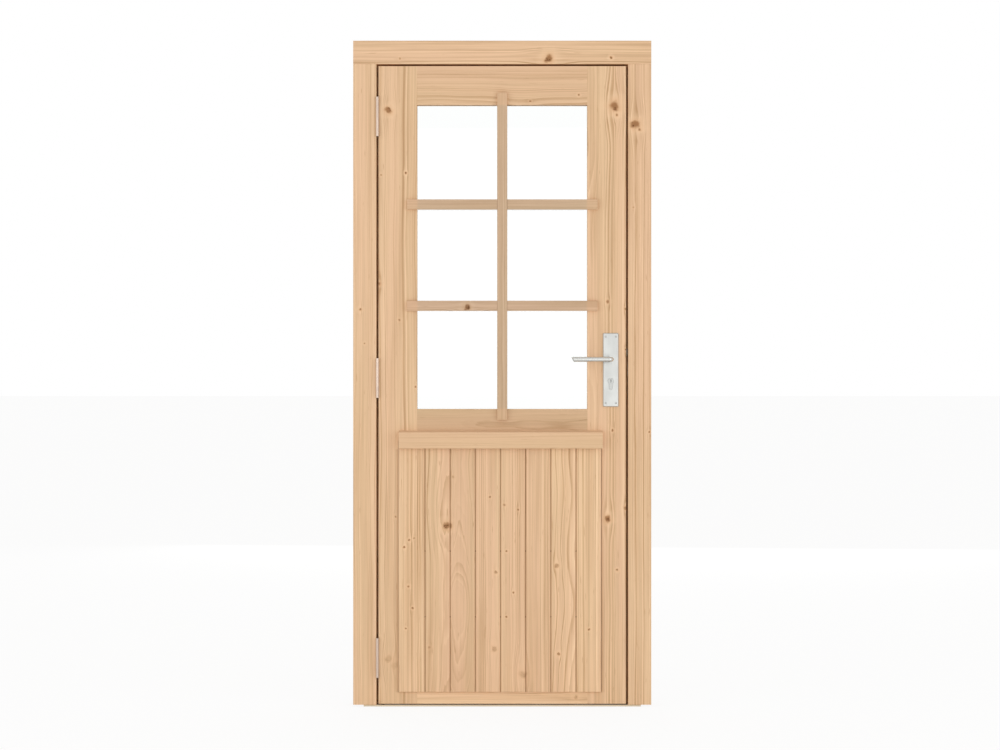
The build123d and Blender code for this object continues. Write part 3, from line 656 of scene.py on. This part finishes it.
hinge_names = [name for name in nodes if name.startswith("hinge_") and "half" in name]
satin = brushed_metal("satin_steel", linear(187, 188, 185), 0.36, stroke=(8, 8, 0.4), contrast=0.05)
lever_steel = brushed_metal("lever_steel", linear(203, 203, 199), 0.27, stroke=(0.4, 8, 8), contrast=0.05)
zinc = brushed_metal("zinc_steel", linear(200, 200, 197), 0.40, stroke=(3, 3, 3))
bolt_steel = brushed_metal("bolt_steel", linear(134, 121, 106), 0.48, stroke=(0.5, 6, 6))
hinge_zinc = brushed_metal("hinge_zinc", linear(202, 183, 168), 0.36, stroke=(3, 3, 0.5), contrast=0.05)
nickel = brushed_metal("satin_nickel", linear(172, 173, 170), 0.33, stroke=(6, 1, 6))
mill = brushed_metal("mill_aluminium", linear(212, 200, 184), 0.5, stroke=(0.3, 6, 6), edge=SILL_FRONT_SHADE)
dress(["outer_backplate", "inner_backplate", "lock_forend", "strike_plate"], satin)
dress(["outer_lever", "inner_lever"], lever_steel)
dress(["lock_case", "spindle", "follower"], zinc)
dress(["latch_bolt", "dead_bolt"], bolt_steel)
dress(["cylinder_body", "outer_plug", "inner_plug", "cylinder_cam"], nickel)
dress(["threshold"], mill)
dress(hinge_names, hinge_zinc)
dress(["glass_pane"], clear_glass())
dress(["glazing_tape"], foam_tape())

# Small fasteners: raised countersunk heads with a cross recess. The shares are of the head's radius.
SCREW_STEEL = brushed_metal("screw_zinc", linear(150, 149, 145), 0.33, stroke=(4, 4, 4))
HEAD_TURNS = 28
HEAD_RINGS = 9
DOME_SHARE = 0.16
CROSS_ARM_SHARE = 0.62
CROSS_SLOT_SHARE = 0.15
CROSS_DEPTH_SHARE = 0.22
FIRST_TURN = 0.3
NEXT_TURN = 0.7


def screw_head(mesh, centre, outward, radius, turn):
    """Add one head to a mesh: a low dome on the face, with a cross pressed into it."""
    outward = Vector(outward)
    side = outward.orthogonal().normalized()
    other = outward.cross(side)
    arm = CROSS_ARM_SHARE * radius
    slot = CROSS_SLOT_SHARE * radius
    rows = []
    for ring in range(HEAD_RINGS):
        reach = radius * ring / (HEAD_RINGS - 1)
        row = []
        for step in range(HEAD_TURNS if ring else 1):
            angle = 2 * math.pi * step / HEAD_TURNS
            u = reach * math.cos(angle)
            v = reach * math.sin(angle)
            pressed = min(abs(u), abs(v)) < slot and max(abs(u), abs(v)) < arm
            height = DOME_SHARE * radius * (1 - (reach / radius) ** 2)
            if pressed:
                height -= CROSS_DEPTH_SHARE * radius
            a = u * math.cos(turn) - v * math.sin(turn)
            b = u * math.sin(turn) + v * math.cos(turn)
            row.append(mesh.verts.new(centre + side * a + other * b + outward * height))
        rows.append(row)
    for step in range(HEAD_TURNS):
        after = (step + 1) % HEAD_TURNS
        mesh.faces.new((rows[0][0], rows[1][step], rows[1][after]))
        for inner, outer in zip(rows[1:], rows[2:]):
            mesh.faces.new((inner[step], outer[step], outer[after], inner[after]))


def screws(name, body, places, outward, radius, steel=SCREW_STEEL):
    """A set of like screws as one piece that rides on a body."""
    mesh = bmesh.new()
    for index, place in enumerate(places):
        screw_head(mesh, Vector(place), outward, radius, NEXT_TURN * index + FIRST_TURN)
    bmesh.ops.recalc_face_normals(mesh, faces=mesh.faces)
    data = bpy.data.meshes.new(name)
    mesh.to_mesh(data)
    mesh.free()
    for face in data.polygons:
        face.use_smooth = True
    data.materials.append(steel)
    piece = bpy.data.objects.new(name, data)
    bpy.context.scene.collection.objects.link(piece)
    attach(piece, body)


# Where the screws sit on the pieces that they hold
HINGE_PLATE = 2 * MM
HINGE_SCREW_SHARES = (0.14, 0.5, 0.86)
HINGE_SCREW_INSET = 12 * MM
WOOD_SCREW_RADIUS = 3.4 * MM
PLATE_SCREW_X = 14.6 * MM
PLATE_SCREW_Z = 95 * MM
PLATE_SCREW_RADIUS = 2.7 * MM
END_SCREW_INSET = 9 * MM

for place in ("lower", "middle", "upper"):
    low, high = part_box(f"hinge_frame_half_{place}")
    column = [low.z + share * (high.z - low.z) for share in HINGE_SCREW_SHARES]
    back = high.y - HINGE_SCREW_INSET
    faces = [(low.x + HINGE_PLATE, back, z) for z in column]
    screws(f"frame_hinge_screws_{place}", "frame", faces, (1, 0, 0), WOOD_SCREW_RADIUS)
    low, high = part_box(f"hinge_leaf_half_{place}")
    faces = [(high.x - HINGE_PLATE, back, z) for z in column]
    screws(f"leaf_hinge_screws_{place}", "leaf", faces, (-1, 0, 0), WOOD_SCREW_RADIUS)

for name, outward in (("outer_backplate", -1), ("inner_backplate", 1)):
    low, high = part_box(name)
    middle = (low + high) / 2
    face_y = low.y if outward < 0 else high.y
    corners = [
        (middle.x + x, face_y, middle.z + z)
        for x in (-PLATE_SCREW_X, PLATE_SCREW_X)
        for z in (-PLATE_SCREW_Z, PLATE_SCREW_Z)
    ]
    screws(f"{name}_screws", "leaf", corners, (0, outward, 0), PLATE_SCREW_RADIUS)

low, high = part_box("lock_forend")
middle = (low + high) / 2
ends = [(high.x, middle.y, z) for z in (low.z + END_SCREW_INSET, high.z - END_SCREW_INSET)]
screws("forend_screws", "leaf", ends, (1, 0, 0), WOOD_SCREW_RADIUS)
low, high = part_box("strike_plate")
ends = [(low.x, middle.y, z) for z in (low.z + END_SCREW_INSET, high.z - END_SCREW_INSET)]
screws("strike_screws", "frame", ends, (-1, 0, 0), WOOD_SCREW_RADIUS)

# Pins in the joints of the boards
PIN_LEVELS = (445 * MM, 257 * MM)
PIN_RADIUS = 1.5 * MM
PIN_DEPTH = 1.2 * MM
PIN_STEEL = brushed_metal("pin_steel", linear(112, 82, 54), 0.5, stroke=(4, 4, 4))
pin_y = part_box("board_1")[0].y + PIN_DEPTH
pins = [(x, pin_y, z) for x in BOARD_JOINTS[1:-1] for z in PIN_LEVELS]
screws("panel_pins", "leaf", pins, (0, -1, 0), PIN_RADIUS, PIN_STEEL)

# Surround, floor, lamps and camera, in metres. SIGHT is the width seen at the front of the door.
SURROUND_COLOUR = (1.0, 0.985, 0.97, 1)
SURROUND_GLOW = 0.80
FLOOR_SIZE = 200.0
FLOOR_DROP = 0.2 * MM
FLOOR_COLOUR = (0.93, 0.93, 0.925, 1)
FLOOR_ROUGHNESS = 0.9
FLOOR_WHITE_SHARE = 0.87
Lamp = namedtuple("Lamp", "place width height glow aim")
LAMPS = {
    "front": Lamp((0.5, -6.2, 1.2), 4.6, 2.2, 1.25, (0.2, 0, 1.0)),
    "left": Lamp((-3.8, -2.6, 1.2), 2.6, 2.2, 1.4, (0, 0, 1.0)),
    "right": Lamp((3.8, -2.6, 1.2), 2.6, 2.2, 1.4, (0, 0, 1.0)),
    "back": Lamp((0.5, 6.2, 1.2), 4.6, 2.2, 1.25, (0, 0, 1.0)),
}
SIGHT = 2.861
SIGHT_X = -6.4 * MM
SIGHT_Z = 0.9484
LENS = 85.0
SENSOR = 36.0


def seen_white(tree):
    """1 for what the camera sees, also in reflections and through glass, and 0 for light on the object."""
    path = tree.nodes.new("ShaderNodeLightPath").outputs
    seen = tree.nodes.new("ShaderNodeMath")
    seen.operation = "MAXIMUM"
    tree.links.new(path["Is Camera Ray"], seen.inputs[0])
    clear = tree.nodes.new("ShaderNodeMath")
    clear.operation = "MAXIMUM"
    tree.links.new(path["Is Glossy Ray"], clear.inputs[0])
    tree.links.new(path["Is Transmission Ray"], clear.inputs[1])
    tree.links.new(clear.outputs[0], seen.inputs[1])
    return seen.outputs[0]


def white_world():
    """An even studio surround, white where it is seen."""
    world = bpy.data.worlds.new("studio")
    bpy.context.scene.world = world
    world.use_nodes = True
    tree = world.node_tree
    lit = tree.nodes["Background"]
    lit.inputs["Color"].default_value = SURROUND_COLOUR
    lit.inputs["Strength"].default_value = SURROUND_GLOW
    white = tree.nodes.new("ShaderNodeBackground")
    white.inputs["Color"].default_value = WHITE
    white.inputs["Strength"].default_value = 1.0
    mix = tree.nodes.new("ShaderNodeMixShader")
    tree.links.new(seen_white(tree), mix.inputs[0])
    tree.links.new(lit.outputs[0], mix.inputs[1])
    tree.links.new(white.outputs[0], mix.inputs[2])
    tree.links.new(mix.outputs[0], tree.nodes["World Output"].inputs[0])


def pale_floor():
    """A white floor that keeps a faint contact shadow."""
    bpy.ops.mesh.primitive_plane_add(size=FLOOR_SIZE, location=(0, 0, cad_box[0].z - FLOOR_DROP))
    floor = bpy.context.object
    floor.name = "floor"
    material = bpy.data.materials.new("floor_white")
    material.use_nodes = True
    tree = material.node_tree
    lit = tree.nodes["Principled BSDF"]
    lit.inputs["Base Color"].default_value = FLOOR_COLOUR
    lit.inputs["Roughness"].default_value = FLOOR_ROUGHNESS
    white = tree.nodes.new("ShaderNodeEmission")
    white.inputs["Strength"].default_value = 1.0
    mostly = tree.nodes.new("ShaderNodeMath")
    mostly.operation = "MULTIPLY"
    mostly.inputs[1].default_value = FLOOR_WHITE_SHARE
    tree.links.new(seen_white(tree), mostly.inputs[0])
    mix = tree.nodes.new("ShaderNodeMixShader")
    tree.links.new(mostly.outputs[0], mix.inputs[0])
    tree.links.new(lit.outputs[0], mix.inputs[1])
    tree.links.new(white.outputs[0], mix.inputs[2])
    tree.links.new(mix.outputs[0], tree.nodes["Material Output"].inputs[0])
    floor.data.materials.append(material)


def soft_lamp(name, place, width, height, glow, aim):
    """A large flat lamp turned to a point, whose face looks as bright as its glow, where 1 is white."""
    data = bpy.data.lights.new(name, "AREA")
    data.shape = "RECTANGLE"
    data.size = width
    data.size_y = height
    data.energy = glow * math.pi * width * height
    lamp = bpy.data.objects.new(name, data)
    lamp.visible_camera = False
    lamp.visible_transmission = False
    lamp.location = place
    lamp.rotation_euler = (Vector(aim) - Vector(place)).to_track_quat("-Z", "Y").to_euler()
    bpy.context.scene.collection.objects.link(lamp)


def front_camera():
    """Level view of the outer face, as far away as the lens asks."""
    data = bpy.data.cameras.new("camera")
    data.lens = LENS
    data.sensor_width = SENSOR
    distance = SIGHT * LENS / SENSOR
    camera = bpy.data.objects.new("camera", data)
    camera.location = (SIGHT_X, DOOR_FRONT - distance, SIGHT_Z)
    camera.rotation_euler = (math.pi / 2, 0, 0)
    bpy.context.scene.collection.objects.link(camera)
    bpy.context.scene.camera = camera


white_world()
pale_floor()
for lamp_name, lamp_row in LAMPS.items():
    soft_lamp(lamp_name, *lamp_row)
front_camera()
bpy.context.scene.view_settings.view_transform = "Standard"
